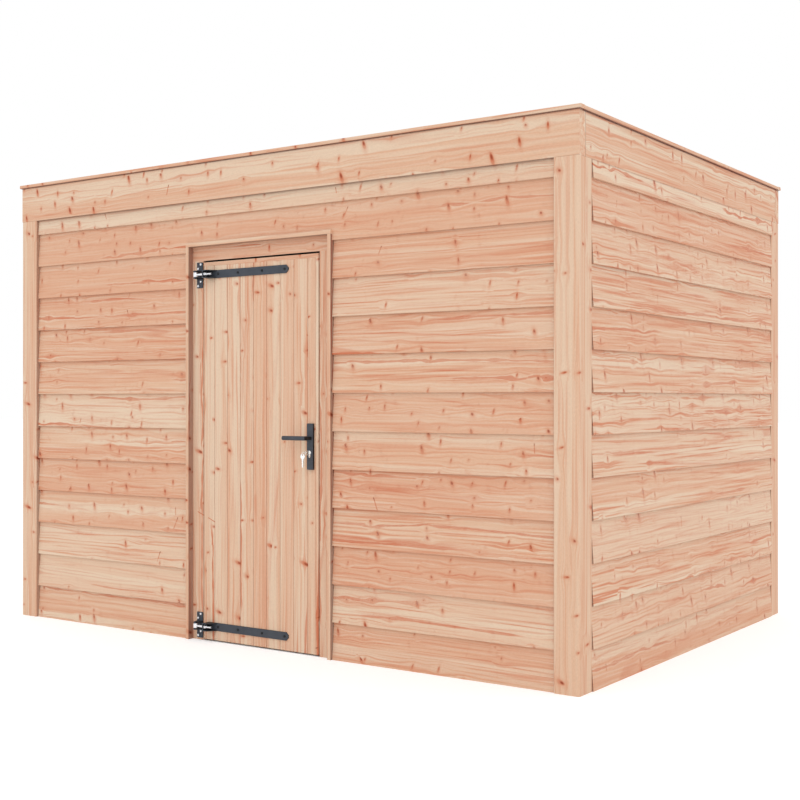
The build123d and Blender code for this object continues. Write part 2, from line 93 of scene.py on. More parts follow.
def maths(tree, operation, *inputs):
    """The output of one Math node."""
    return add(tree, "Math", *inputs, operation=operation).outputs[0]


sky = bpy.data.worlds.new("sky")
sky.use_nodes = True
bpy.context.scene.world = sky
sky_tree = sky.node_tree
sky_tree.nodes.clear()
sky_shine = add(sky_tree, "Background", (1, 1, 1, 1), 1.0)
add(sky_tree, "OutputWorld", sky_shine.outputs[0])

lamp = bpy.data.lights.new("soft lamp", "SUN")
lamp.energy = 0.4
lamp.angle = radians(60)
put("soft lamp", lamp).rotation_euler = (radians(50), 0, radians(40))

floor_reach = 60
floor_white = 0.82
floor_glow = 0.34
floor_corners = [
    (x * floor_reach, y * floor_reach, 0)
    for x, y in ((-1, -1), (1, -1), (1, 1), (-1, 1))
]
floor_mesh = bpy.data.meshes.new("floor")
floor_mesh.from_pydata(floor_corners, [], [(0, 1, 2, 3)])
floor = put("floor", floor_mesh)
floor_paint = bpy.data.materials.new("white floor")
floor_paint.use_nodes = True
floor_tree = floor_paint.node_tree
floor_tree.nodes.clear()
rays = add(floor_tree, "LightPath").outputs
floor_seen = maths(floor_tree, "MAXIMUM", rays["Is Camera Ray"], rays["Is Glossy Ray"])
floor_seen = maths(floor_tree, "MAXIMUM", floor_seen, rays["Is Transmission Ray"])
floor_matt = add(floor_tree, "BsdfDiffuse", (floor_white, floor_white, floor_white, 1))
glow = maths(floor_tree, "MULTIPLY", floor_seen, floor_glow)
floor_lift = add(floor_tree, "Emission", (1, 1, 1, 1), glow)
floor_sum = add(floor_tree, "AddShader", floor_matt.outputs[0], floor_lift.outputs[0])
add(floor_tree, "OutputMaterial", floor_sum.outputs[0])
floor_mesh.materials.append(floor_paint)


# ---------------------------------------------------------------- corner posts
# Four planed softwood posts, 120 mm square with rounded arrises. They carry the roof frame and
# stand on the ground; the boards are cut between them.
def vector_maths(tree, operation, *inputs):
    """The vector output of one Vector Math node."""
    return add(tree, "VectorMath", *inputs, operation=operation).outputs[0]


def combined(tree, x, y, z):
    """A vector of three values."""
    return add(tree, "CombineXYZ", x, y, z).outputs[0]


def noise(tree, place, scale, detail=2.0, roughness=0.5):
    """Cloud noise of a place, from 0 to 1 and mostly near 0.5."""
    made = add(tree, "TexNoise", place, noise_dimensions="3D")
    feed(tree, made.inputs["Scale"], scale)
    feed(tree, made.inputs["Detail"], detail)
    feed(tree, made.inputs["Roughness"], roughness)
    return made.outputs[0]


def mix(tree, factor, below, above, kind="RGBA", blend="MIX"):
    """Below where the factor is 0, and above where it is 1."""
    made = add(tree, "Mix", factor, below, above, data_type=kind, blend_type=blend)
    return next(socket for socket in made.outputs if socket.enabled)


def ramp(tree, value, low, high, start, end, curve="LINEAR"):
    """Start where the value is under low, end where it is over high, and a slope between them."""
    return add(tree, "MapRange", value, low, high, start, end, interpolation_type=curve).outputs[0]


def new_group(name, inputs, outputs):
    """A new node group: itself, what it is given and where its results go. Inputs are (name, kind,
    value) or (name, kind), and outputs are (name, kind)."""
    made = bpy.data.node_groups.new(name, "ShaderNodeTree")
    for label, kind, *value in inputs:
        socket = made.interface.new_socket(label, in_out="INPUT", socket_type="NodeSocket" + kind)
        if value:
            socket.default_value = value[0]
    for label, kind in outputs:
        made.interface.new_socket(label, in_out="OUTPUT", socket_type="NodeSocket" + kind)
    given = made.nodes.new("NodeGroupInput").outputs
    return made, given, made.nodes.new("NodeGroupOutput").inputs


def placed(tree, group, values):
    """The outputs of a group that is placed in a material with the material's own values."""
    made = tree.nodes.new("ShaderNodeGroup")
    made.node_tree = group
    for label, value in values.items():
        feed(tree, made.inputs[label], value)
    return made.outputs


def softwood_grain():
    """Planed softwood as a solid. Place is (along the grain, across, deep) in metres.

    Late-wood lines are contours of a noise that is stretched along the grain: they lie where the
    fraction of 15 times the noise is high. Knots lie at the points of a random grid and push the
    lines aside by exp of minus the square of the distance. Beaded salmon streaks wander down lanes
    85 mm wide; fine hairs and pale and tan bands run with them. Seed picks a place in the log,
    Knots, Streaks, Bands and Contrast give more of each, Tone goes from pink to pale, and the last
    input darkens the wood: it carries painted shade where faces lie in shadow, and dark joints."""
    inputs = (
        ("Place", "Vector"),
        ("Seed", "Float", 0.0),
        ("Knots", "Float", 0.5),
        ("Streaks", "Float", 0.4),
        ("Bands", "Float", 1.0),
        ("Tone", "Float", 0.5),
        ("Contrast", "Float", 1.0),
        ("Sawn", "Float", 0.0),
    )
    outputs = (("Color", "Color"), ("Height", "Float"), ("Roughness", "Float"))
    group, given, result = new_group("softwood grain", inputs, outputs)

    def m(operation, *inputs):
        return maths(group, operation, *inputs)

    def times(first, *others):
        for other in others:
            first = m("MULTIPLY", first, other)
        return first

    def between(share, low, high):
        """Low where the share is 0, and high where it is 1."""
        return m("MULTIPLY_ADD", share, high - low, low)

    def more(value, low, high):
        """A smooth step from 0 to 1 as the value goes from low to high."""
        return ramp(group, value, low, high, 0.0, 1.0, "SMOOTHSTEP")

    def less(value, low, high):
        return m("SUBTRACT", 1.0, more(value, low, high))

    def waves(where, scales, detail, roughness=0.5):
        """Noise with so many waves to a metre along, across and deep."""
        return noise(group, vector_maths(group, "MULTIPLY", where, scales), 1, detail, roughness)

    def oval(first, second):
        """How far out a point is from the middle of an oval, 1 at its edge."""
        return m("SQRT", m("ADD", times(first, first), times(second, second)))

    # Every piece starts at its own place in the log, with lines of its own strength.
    log_size = (31, 23, 17)
    throw = add(group, "TexWhiteNoise", given["Seed"], noise_dimensions="1D").outputs
    start = vector_maths(group, "MULTIPLY", throw["Color"], log_size)
    place = vector_maths(group, "ADD", given["Place"], start)
    contrast = times(given["Contrast"], between(throw["Value"], 0.5, 1.4))
    parts = add(group, "SeparateXYZ", place).outputs
    along = parts[0]
    across = m("ADD", parts[1], parts[2])

    def scatter(long, wide):
        """Distances along and across from the nearest point of a random grid, and its chances."""
        grid = combined(group, m("DIVIDE", along, long), m("DIVIDE", across, wide), 0.0)
        cells = add(group, "TexVoronoi", grid, voronoi_dimensions="2D", feature="F1")
        cells.inputs["Scale"].default_value = 1
        away = vector_maths(group, "SUBTRACT", grid, cells.outputs["Position"])
        away = add(group, "SeparateXYZ", away).outputs
        chances = add(group, "SeparateColor", cells.outputs["Color"]).outputs
        return times(away[0], long), times(away[1], wide), chances

    # Knots are leaning ovals that stand across the grain, darkest near their upper end.
    knot_along, knot_across, chance = scatter(0.14, 0.07)
    has_knot = m("LESS_THAN", chance[0], given["Knots"])
    bulk = m("POWER", chance[1], 3.0)
    radius = between(bulk, 0.0058, 0.0118)
    reach = times(radius, between(chance[2], 1.15, 3.05))
    lean = between(chance[1], -0.3, 0.3)
    knot_along = m("MULTIPLY_ADD", knot_across, lean, knot_along)
    rise = m("DIVIDE", knot_across, reach)
    near = oval(m("DIVIDE", knot_along, radius), rise)
    knot = times(less(near, 0.55, 1.2), has_knot)
    fade = m("MULTIPLY_ADD", more(rise, -1.2, 0.5), 0.5, times(chance[2], 0.5))
    heart_middle, heart_wide, heart_high = 0.3, 0.65, 0.55
    heart_rise = m("DIVIDE", m("SUBTRACT", rise, heart_middle), heart_high)
    heart = oval(m("DIVIDE", knot_along, times(radius, heart_wide)), heart_rise)
    heart = times(less(heart, 0.2, 1.1), has_knot, between(bulk, 0.45, 0.95))
    halo = times(less(near, 0.8, 2.6), has_knot)

    # Spike knots are thin marks across the grain, dark at one end.
    spike_along, spike_across, luck = scatter(0.5, 0.16)
    has_spike = m("LESS_THAN", luck[0], times(given["Knots"], 0.3))
    spike_rise = m("DIVIDE", spike_across, between(luck[1], 0.014, 0.038))
    spike_lean = m("SUBTRACT", luck[2], 0.5)
    spike_side = m("ABSOLUTE", m("MULTIPLY_ADD", spike_across, spike_lean, spike_along))
    spike = times(less(spike_side, 0.0012, 0.0036), less(m("ABSOLUTE", spike_rise), 0.75, 1.0))
    spike = times(spike, has_spike)

    # The grain wanders, ripples here and there, and passes round the knots.
    wander_by, ripple_by, knot_push = 0.035, 0.011, -0.85
    swell_long, swell_wide = 0.045, 0.026
    wander = m("SUBTRACT", waves(place, (0.8, 3, 3), 2), 0.5)
    ripple = m("SUBTRACT", waves(place, (5, 14, 14), 1), 0.5)
    ripple = times(ripple, more(waves(place, (0.7, 4, 4), 0), 0.48, 0.68))
    swell = oval(m("DIVIDE", knot_along, swell_long), m("DIVIDE", knot_across, swell_wide))
    swell = m("EXPONENT", times(swell, swell, -1.0))
    bent = times(knot_across, swell, has_knot, knot_push)
    shift = m("MULTIPLY_ADD", wander, wander_by, m("MULTIPLY_ADD", ripple, ripple_by, bent))
    flow = combined(group, along, m("ADD", parts[1], shift), parts[2])

    # Late-wood lines, hairs and bands follow the grain; fibres are too short to bend with it.
    figure = m("FRACT", times(waves(flow, (0.2, 9, 9), 0), 15.0))
    line = times(more(figure, 0.66, 0.9), less(figure, 0.93, 1.0))
    line = times(line, more(waves(flow, (0.7, 13, 13), 1), 0.46, 0.58))
    growth = waves(flow, (1.6, 90, 90), 2)
    hair = more(growth, 0.52, 0.64)
    light_hair = less(growth, 0.36, 0.46)
    fibre = waves(place, (90, 300, 300), 2, 0.6)
    band_waves = times(given["Bands"], 11.0)
    band = waves(flow, combined(group, 0.25, band_waves, band_waves), 2)
    pale = more(band, 0.54, 0.59)
    tan = less(band, 0.40, 0.47)

    # A streak wanders about the middle of its lane, comes and goes, and is beaded.
    lane_wide, stray_by = 0.085, 0.06
    lanes = m("DIVIDE", m("ADD", across, shift), lane_wide)
    lane = m("FLOOR", lanes)

    def down_lane(speed, turn, detail):
        """Noise that changes along the lane, and is another one in each lane."""
        where = combined(group, times(along, speed), times(lane, turn), turn)
        return noise(group, where, 1, detail)

    off_middle = times(m("SUBTRACT", m("FRACT", lanes), 0.5), lane_wide)
    strayed = m("SUBTRACT", down_lane(1.3, 5.3, 1), 0.5)
    off_streak = m("ABSOLUTE", m("MULTIPLY_ADD", strayed, stray_by, off_middle))
    least = between(given["Streaks"], 0.72, 0.46)
    shown = more(down_lane(0.9, 3.7, 0), least, m("ADD", least, 0.05))
    beads = down_lane(12, 7.9, 1)
    half = times(between(times(beads, beads), 0.0015, 0.0175), shown)
    streak = times(less(off_streak, times(half, 0.9), m("ADD", half, 0.0008)), shown)
    beside = times(less(off_streak, half, m("ADD", half, 0.012)), shown)

    # Colours are laid over each other, the widest first.
    wood, pale_wood, tan_wood = srgb(224, 184, 154), srgb(229, 204, 178), srgb(221, 171, 140)
    knot_wood = srgb(202, 112, 74)
    layers = (
        (times(pale, given["Contrast"]), pale_wood),
        (times(tan, given["Contrast"], 0.8), tan_wood),
        (times(less(given["Tone"], -0.5, 0.5), 0.9), srgb(220, 167, 136)),
        (times(more(given["Tone"], 0.5, 1.5), 0.8), pale_wood),
        (times(beside, 0.5), srgb(229, 202, 175)),
        (times(light_hair, contrast, 0.4), srgb(232, 209, 185)),
        (times(hair, contrast, 0.6), srgb(211, 138, 104)),
        (times(line, between(hair, 0.5, 1.05), contrast, 0.85), srgb(206, 126, 92)),
        (times(streak, between(hair, 0.75, 1.0)), srgb(204, 120, 86)),
        (times(halo, 0.35), srgb(212, 143, 109)),
        (times(knot, fade), knot_wood),
        (heart, srgb(150, 62, 34)),
        (times(spike, 0.9), knot_wood),
        (times(spike, more(spike_rise, 0.3, 0.8)), srgb(142, 58, 32)),
    )
    color = wood
    for share, layer in layers:
        color = mix(group, share, color, layer)
    value = between(fibre, 0.88, 1.12)
    color = mix(group, 1.0, color, combined(group, value, value, value), blend="MULTIPLY")
    # Painted shade, and dark joints: the last input darkens the colour by this tint.
    painted_shade_and_joint_tint = vector_maths(group, "SCALE", (-0.37, -0.41, -0.39), given["Sawn"])
    painted_shade_and_joint_tint = vector_maths(group, "ADD", painted_shade_and_joint_tint, (1, 1, 1))
    color = mix(group, 1.0, color, painted_shade_and_joint_tint, blend="MULTIPLY")
    height = m("MULTIPLY_ADD", line, 0.5, m("MULTIPLY_ADD", fibre, 0.25, times(knot, 0.4)))
    roughness = m("MULTIPLY_ADD", knot, -0.18, m("MULTIPLY_ADD", line, -0.06, 0.62))
    for name, socket in (("Color", color), ("Height", height), ("Roughness", roughness)):
        group.links.new(socket, result[name])
    return group


softwood = softwood_grain()


def new_finish(name):
    """A new material: itself, its tree, its shader's inputs and its texture coordinates."""
    made = bpy.data.materials.new(name)
    made.use_nodes = True
    tree = made.node_tree
    return made, tree, tree.nodes["Principled BSDF"].inputs, add(tree, "TexCoord").outputs


def bump(tree, height, strength, distance):
    """The normal of a surface that a height raises, by the distance in metres where it is 1."""
    made = add(tree, "Bump")
    made.inputs["Strength"].default_value = strength
    made.inputs["Distance"].default_value = distance
    tree.links.new(height, made.inputs["Height"])
    return made.outputs[0]


def timber(name, order, edit=None, **values):
    """A softwood finish. Order names the object axes that run along, across and through the piece,
    and the values are inputs of the grain. Edit may return sockets that replace any of its inputs
    where they change over the piece."""
    made, tree, shader, place = new_finish(name)
    split = add(tree, "SeparateXYZ", place["Object"]).outputs
    inputs = {label.title(): value for label, value in values.items()}
    inputs["Place"] = combined(tree, *[split["XYZ".index(letter)] for letter in order])
    if edit:
        inputs.update(edit(tree, split))
    grain = placed(tree, softwood, inputs)
    tree.links.new(grain["Color"], shader["Base Color"])
    tree.links.new(grain["Roughness"], shader["Roughness"])
    tree.links.new(bump(tree, grain["Height"], 0.25, 0.0006), shader["Normal"])
    shader["Specular IOR Level"].default_value = 0.25
    return made


def dress(finish, *nodes):
    """Gives CAD nodes their finish."""
    for node in nodes:
        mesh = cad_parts[node].data
        mesh.materials.clear()
        mesh.materials.append(finish)


def shaded_reveals(tree, split):
    """The faces that the boards butt against, on the side of the posts nearest the middle, carry
    painted shade, and so does the first of their rounding."""
    marks = []
    for axis in (0, 1):
        off = maths(tree, "SUBTRACT", maths(tree, "ABSOLUTE", split[axis]), post_inner[axis])
        marks.append(ramp(tree, off, 0.0005, 0.003, 1.0, 0.0))
    return {"Sawn": maths(tree, "MAXIMUM", *marks)}


post_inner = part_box("post_rear_right")[0]
dress(
    timber("post softwood", "ZXY", shaded_reveals, seed=3.0, knots=0.32, streaks=0.2, contrast=0.5),
    "post_front_left",
    "post_front_right",
    "post_rear_left",
    "post_rear_right",
)


# ---------------------------------------------------------------- wall boards
# Lapped softwood boards with a rebated thick lower edge that hangs over the thin upper edge of the
# board below. They are nailed flat on the studs and cut between posts and door surround.
def board_outline(lap, low, high):
    """Section of one board as (out from the wall, height): thick, rounded lower edge, rebate behind
    it, straight sloping face and thin upper edge. Lap is its lower edge; low and high cut it."""
    wide, thick, thin, rounding = 0.195, 0.027, 0.012, 0.0022
    rebate_deep, rebate_high = 0.0145, 0.0165
    slope = (thick - thin) / wide
    top = min(lap + wide, high)
    if low > lap:
        foot = [(thick - slope * (low - lap), low), (0.0, low)]
    else:
        angle = np.linspace(0, np.pi / 2, 4)
        around = np.stack((np.sin(angle), -np.cos(angle)), 1) * rounding
        corner = around + (thick - rounding, lap + rounding)
        rebate_top = lap + rebate_high
        inside = [(rebate_deep, lap), (rebate_deep, rebate_top), (0.0, rebate_top)]
        foot = [*corner[::-1].tolist(), *inside]
    return np.array([*foot, (0.0, top), (thick - slope * (top - lap), top)])


def board_wall(name, runs, turn, stand, finish):
    """Boards of one wall as one mesh: each outline is carried straight from its first end to its
    last, and closed with two flat ends. Runs are (outline, from, to, seed, knots, streaks, tone).
    Turn is the wall's quarter turns about Z and stand its back face's distance from the middle."""
    corners, faces, marks = [], [], []
    for outline, start, stop, *kept in runs:
        count = len(outline)
        base = sum(len(block) for block in corners)
        ends = np.repeat([start, stop], count)
        across = np.tile(-stand - outline[:, 0], 2)
        corners.append(np.stack((ends, across, np.tile(outline[:, 1], 2)), 1))
        ring = np.arange(count)
        after = np.roll(ring, -1)
        sides = np.stack((ring, after, after + count, ring + count), 1) + base
        faces += sides.tolist() + [(ring[::-1] + base).tolist(), (ring + count + base).tolist()]
        marks.append(np.tile(kept, (2 * count, 1)))
    angle = turn * np.pi / 2
    cosine, sine = np.cos(angle), np.sin(angle)
    spin = np.array([[cosine, sine, 0], [-sine, cosine, 0], [0, 0, 1]])
    points = np.concatenate(corners) @ spin
    mesh = bpy.data.meshes.new(name)
    mesh.from_pydata(points.tolist(), [], faces)
    mesh.materials.append(finish)
    marks = np.concatenate(marks)
    for column, label in enumerate(("seed", "knots", "streaks", "tone")):
        mark = mesh.attributes.new(label, "FLOAT", "POINT")
        mark.data.foreach_set("value", marks[:, column].astype(np.float32))
    wall = put(name, mesh)
    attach(wall, "shed")
    return wall


def facing(tree, axis):
    """How far a face looks up an object axis, from -1 to 1."""
    return add(tree, "SeparateXYZ", add(tree, "TexCoord").outputs["Normal"]).outputs[axis]


def board_marks(axis):
    """Each board brings its own seed, knots, streaks and tone. Its sawn ends, which look along the
    axis, are darkened with painted shade, and the 5 mm of the top board under the fascia with a
    painted shadow."""
    def mark(tree, split):
        marks = {
            label.title(): add(tree, "Attribute", attribute_name=label).outputs["Fac"]
            for label in ("seed", "knots", "streaks", "tone")
        }
        ends = maths(tree, "GREATER_THAN", maths(tree, "ABSOLUTE", facing(tree, axis)), 0.9)
        shade = ramp(tree, split[2], wall_top - 0.006, wall_top - 0.004, 0.0, 0.45)
        marks["Sawn"] = maths(tree, "MAXIMUM", ends, shade)
        return marks
    return mark


# The lowest lap that shows is 175 mm up, and the ground cuts the board under it.
first_lap = 0.175
lap_pitch = 0.179
end_gap = 0.0015
laps = first_lap + lap_pitch * np.arange(-1, 12)
wall_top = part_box("boards_rear")[1].z
draw = np.random.default_rng(11)


def board_rows(start, stop, first_seed):
    """All rows between two ends, sawn a little short. Each draws its own knots, streaks and tone."""
    mark_low, mark_range = (0.3, 0.0, -0.25), (0.45, 1.0, 1.5)
    rows = []
    for row, lap in enumerate(laps):
        outline = board_outline(lap, max(lap, 0.0), wall_top)
        marks = draw.random(3) * mark_range + mark_low
        rows.append((outline, start + end_gap, stop - end_gap, first_seed + row, *marks))
    return rows


board_front = timber("board softwood, door wall", "XZY", board_marks(0))
board_side = timber("board softwood, side walls", "YZX", board_marks(1), contrast=1.25)

# Beside the door a row is two boards. The row that the surround's head cuts is one board with a
# notch, made of three lengths, and the rows over it run through.
surround_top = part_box("casing_head")[1].z
left_low, left_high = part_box("boards_front_left")
right_low, right_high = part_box("boards_front_right")
door_wall = []
left_rows = board_rows(left_low.x, left_high.x, 100)
right_rows = board_rows(right_low.x, right_high.x, 200)
for lap, left_row, right_row in zip(laps, left_rows, right_rows):
    outline, start, _, *marks = left_row
    stop = right_row[2]
    if lap + lap_pitch < surround_top:
        door_wall += [left_row, right_row]
    elif lap > surround_top:
        door_wall.append((outline, start, stop, *marks))
    else:
        notched = board_outline(lap, surround_top, wall_top)
        door_wall.append((outline, start, left_high.x, *marks))
        door_wall.append((notched, left_high.x, right_low.x, *marks))
        door_wall.append((outline, right_low.x, stop, *marks))
wall = board_wall("boards_door_wall", door_wall, 0, -left_high.y, board_front)
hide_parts("boards_front_left", "boards_front_right", "boards_over_door")

rear_low, rear_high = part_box("boards_rear")
rear_rows = board_rows(rear_low.x, rear_high.x, 300)
wall = board_wall("boards_rear_wall", rear_rows, 2, rear_low.y, board_front)
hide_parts("boards_rear")

side_low, side_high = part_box("boards_right")
right_side_rows = board_rows(side_low.y, side_high.y, 400)
wall = board_wall("boards_right_wall", right_side_rows, 3, side_low.x, board_side)
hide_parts("boards_right")
left_side_rows = board_rows(side_low.y, side_high.y, 500)
wall = board_wall("boards_left_wall", left_side_rows, 1, side_low.x, board_side)
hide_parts("boards_left")


# ---------------------------------------------------------------- fascias and laths
# Planed boards round the roof edge, flush with the posts, with a narrow lath nailed on top. The
# long ones run to the corners and cover the ends of the short ones.
def painted_shade_faces(axis, sides, dark):
    """Marks the faces that look along an axis with painted shade: up it for 1, down it for -1, and
    both ways for 0.
    """
    def mark(tree, split):
        looks = facing(tree, axis)
        looks = maths(tree, "MULTIPLY", looks, sides) if sides else maths(tree, "ABSOLUTE", looks)
        return {"Sawn": ramp(tree, looks, 0.6, 0.9, 0.0, dark)}
    return mark


def under_lath(tree, split, dark):
    """A painted shade line under the lath, on the top 7 mm of a fascia, and painted shade on the
    fascia's underside.
    """
    line = ramp(tree, split[2], fascia_top - 0.007, fascia_top - 0.004, 0.0, dark)
    return maths(tree, "MAXIMUM", line, painted_shade_faces(2, -1, 1.2)(tree, split)["Sawn"])


def long_fascia(tree, split):
    """A long board has only the painted shade line and the painted shade on its underside."""
    return {"Sawn": under_lath(tree, split, 0.9)}


def short_fascia(tree, split):
    """A short board ends in a rebate 58 mm from the corner: from a thin dark joint on, the end
    grain of the long board shows."""
    own_seed, other_seed = 48.0, 41.0
    past = maths(tree, "SUBTRACT", maths(tree, "ABSOLUTE", split[1]), corner_y - 0.058)
    joint = maths(tree, "LESS_THAN", maths(tree, "ABSOLUTE", past), 0.002)
    end_grain = maths(tree, "GREATER_THAN", past, 0.0)
    own = combined(tree, split[1], split[2], split[0])
    other = combined(tree, split[0], split[2], split[1])
    return {
        "Place": mix(tree, end_grain, own, other, kind="VECTOR"),
        "Seed": maths(tree, "MULTIPLY_ADD", end_grain, other_seed - own_seed, own_seed),
        "Sawn": maths(tree, "MULTIPLY_ADD", joint, 0.9, under_lath(tree, split, 1.5)),
    }


fascia_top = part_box("fascia_right")[1].z
corner_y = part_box("fascia_rear")[1].y
long_values = {"seed": 41.0, "streaks": 0.6, "bands": 1.8, "contrast": 0.8}
short_values = {"knots": 0.6, "streaks": 0.1, "bands": 1.5}
long_wood = timber("fascia softwood, long", "XZY", long_fascia, **long_values)
short_wood = timber("fascia softwood, short", "YZX", short_fascia, **short_values)
dress(long_wood, "fascia_front", "fascia_rear")
dress(short_wood, "fascia_left", "fascia_right")
# The laths' undersides carry painted shade.
lath_values = {"knots": 0.35, "streaks": 0.4, "tone": 0.15, "edit": painted_shade_faces(2, -1, 1.5)}
dress(timber("lath softwood, long", "XYZ", seed=45.0, **lath_values), "trim_laths_long")
dress(timber("lath softwood, short", "YXZ", seed=47.0, **lath_values), "trim_laths_short")


# ---------------------------------------------------------------- roof and wall framing
# Sawn beams, joists, studs and rails, seen only from inside, a plywood deck, and a sheet of black
# rubber that lies on it and turns up behind the fascias.
def run_by_place(tree, split):
    """Rails of the side walls run along Y, the others along X."""
    side_wall_x = 1.64
    on_side = maths(tree, "GREATER_THAN", maths(tree, "ABSOLUTE", split[0]), side_wall_x)
    along = mix(tree, on_side, split[0], split[1], kind="FLOAT")
    across = mix(tree, on_side, split[1], split[0], kind="FLOAT")
    return {"Place": combined(tree, along, split[2], across)}


dress(timber("beam softwood, long", "XZY", seed=51.0, tone=0.2), "ring_beams_long")
dress(timber("beam softwood, short", "YZX", seed=53.0, tone=0.2), "ring_beams_short", "roof_joists")
dress(timber("stud softwood", "ZXY", seed=55.0, tone=0.25), "wall_studs")
dress(timber("rail softwood", "XZY", run_by_place, seed=57.0, tone=0.25), "wall_rails")
deck_values = {"seed": 59.0, "bands": 0.3, "knots": 0.3, "streaks": 0.1, "tone": 0.1}
dress(timber("deck softwood", "XYZ", **deck_values), "roof_deck")


def cloudy_shade():
    """A colour that goes from Dark to Light with a cloud noise, which is Cloud. The noise has Scale
    waves to a metre, and Detail layers of finer ones on them."""
    inputs = (
        ("Place", "Vector"),
        ("Scale", "Float", 1.0),
        ("Detail", "Float", 2.0),
        ("Dark", "Color"),
        ("Light", "Color"),
    )
    group, given, result = new_group("cloudy shade", inputs, (("Color", "Color"), ("Cloud", "Float")))
    cloud = noise(group, given["Place"], given["Scale"], given["Detail"])
    group.links.new(mix(group, cloud, given["Dark"], given["Light"]), result["Color"])
    group.links.new(cloud, result["Cloud"])
    return group


clouds = cloudy_shade()


def clouded(name, dark, light, roughness, scale, detail=2.0, stretch=None, metal=0.0, uneven=0.0):
    """A finish with a cloudy shade, whose roughness goes up by uneven times the cloud. Stretch gives
    the cloud so many times more waves along each axis."""
    made, tree, shader, place = new_finish(name)
    where = place["Object"]
    if stretch:
        where = vector_maths(tree, "MULTIPLY", where, stretch)
    values = {"Place": where, "Scale": scale, "Detail": detail, "Dark": dark, "Light": light}
    shade = placed(tree, clouds, values)
    tree.links.new(shade["Color"], shader["Base Color"])
    if uneven:
        roughness = maths(tree, "MULTIPLY_ADD", shade["Cloud"], uneven, roughness)
    feed(tree, shader["Roughness"], roughness)
    shader["Metallic"].default_value = metal
    return made


sheet_rubber = clouded("roof rubber", srgb(34, 34, 36), srgb(66, 65, 63), 0.72, scale=2.2, detail=6)
dress(sheet_rubber, "roof_sheet")


# ---------------------------------------------------------------- door surround and frame
# Thin boards set edge-on make the surround, planed on the edge, with painted shade on their wide
# faces; inside it stand two rebated jambs and a head with a rubber seal, over an aluminium strip.
surround_values = {"knots": 0.3, "contrast": 0.7}
shaded_side_faces, shaded_top_faces = painted_shade_faces(0, 0, 1.25), painted_shade_faces(2, 0, 1.0)
side_wood = timber("surround softwood, upright", "ZYX", shaded_side_faces, seed=61.0, **surround_values)
top_wood = timber("surround softwood, head", "XYZ", shaded_top_faces, seed=63.0, **surround_values)
dress(side_wood, "casing_sides")
dress(top_wood, "casing_head")
jamb_values = {"seed": 65.0, "knots": 0.45, "streaks": 0.5, "tone": 0.8, "contrast": 0.8}
jamb_wood = timber("frame softwood, upright", "ZXY", **jamb_values)
dress(jamb_wood, "door_jamb_hinge_side", "door_jamb_lock_side")
head_wood = timber("frame softwood, head", "XZY", seed=67.0, knots=0.2, streaks=0.6, tone=-0.3)
dress(head_wood, "door_frame_head")

# The seal's near-black rubber also stands in for the shade in the gap over the leaf: partly a real
# seal, partly painted shade.
seal_rubber_and_gap_shade = clouded("seal rubber", srgb(14, 14, 15), srgb(26, 26, 28), 0.8, scale=60)
dress(seal_rubber_and_gap_shade, "door_head_seal")
drawn_along_x = (4, 400, 400)
strip_metal = clouded(
    "dull aluminium",
    srgb(205, 206, 208),
    srgb(240, 240, 242),
    0.5,
    scale=1,
    stretch=drawn_along_x,
    metal=0.3,
)
dress(strip_metal, "threshold")


# ---------------------------------------------------------------- door leaf
# Tongued softwood planks, each from its own log, nailed on a braced frame of stiles and rails, with
# narrow laths round three edges of their face.
def plank_marks(tree, split):
    """Each plank of the leaf has its own seed and tone, by its place across the door, and its
    joints are darkened."""
    planks = maths(tree, "DIVIDE", maths(tree, "SUBTRACT", split[0], first_groove), plank_pitch)
    number = maths(tree, "FLOOR", planks)
    middle = maths(tree, "ADD", number, 0.5)
    chance = add(tree, "TexWhiteNoise", middle, noise_dimensions="1D").outputs["Value"]
    off_joint = maths(tree, "SUBTRACT", planks, maths(tree, "ROUND", planks))
    return {
        "Seed": maths(tree, "MULTIPLY_ADD", number, 7.0, 71.0),
        "Tone": maths(tree, "MULTIPLY_ADD", chance, 0.6, 0.3),
        "Sawn": ramp(tree, maths(tree, "ABSOLUTE", off_joint), 0.012, 0.024, 0.5, 0.0),
    }


def brace_run(tree, split):
    """The braces run up from the hinge side, about 57 degrees from level."""
    brace_slope = 0.99
    on_face = combined(tree, split[0], split[2], split[1])
    turned = add(tree, "VectorRotate", on_face, rotation_type="Z_AXIS")
    turned.inputs["Angle"].default_value = -brace_slope
    return {"Place": turned.outputs[0]}


plank_pitch = 0.086
first_groove_from_leaf = 0.072
first_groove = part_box("door_edge_laths")[0].x + first_groove_from_leaf
plank_values = {"knots": 0.3, "streaks": 0.3, "bands": 1.4, "contrast": 0.75}
edge_values = {"seed": 81.0, "knots": 0.3, "streaks": 0.1, "bands": 1.4}
top_values = {"seed": 83.0, "knots": 0.2, "streaks": 0.2, "tone": 0.8}
dress(timber("plank softwood", "ZXY", plank_marks, **plank_values), "door_planks")
dress(timber("edge lath softwood", "ZXY", **edge_values), "door_edge_laths")
dress(timber("top lath softwood", "XZY", **top_values), "door_top_lath")
dress(timber("stile softwood", "ZXY", seed=85.0, tone=0.4), "door_stiles")
dress(timber("door rail softwood", "XZY", seed=87.0, tone=0.4), "door_rails")
dress(timber("brace softwood", "XZY", brace_run, seed=89.0, tone=0.4), "door_braces")


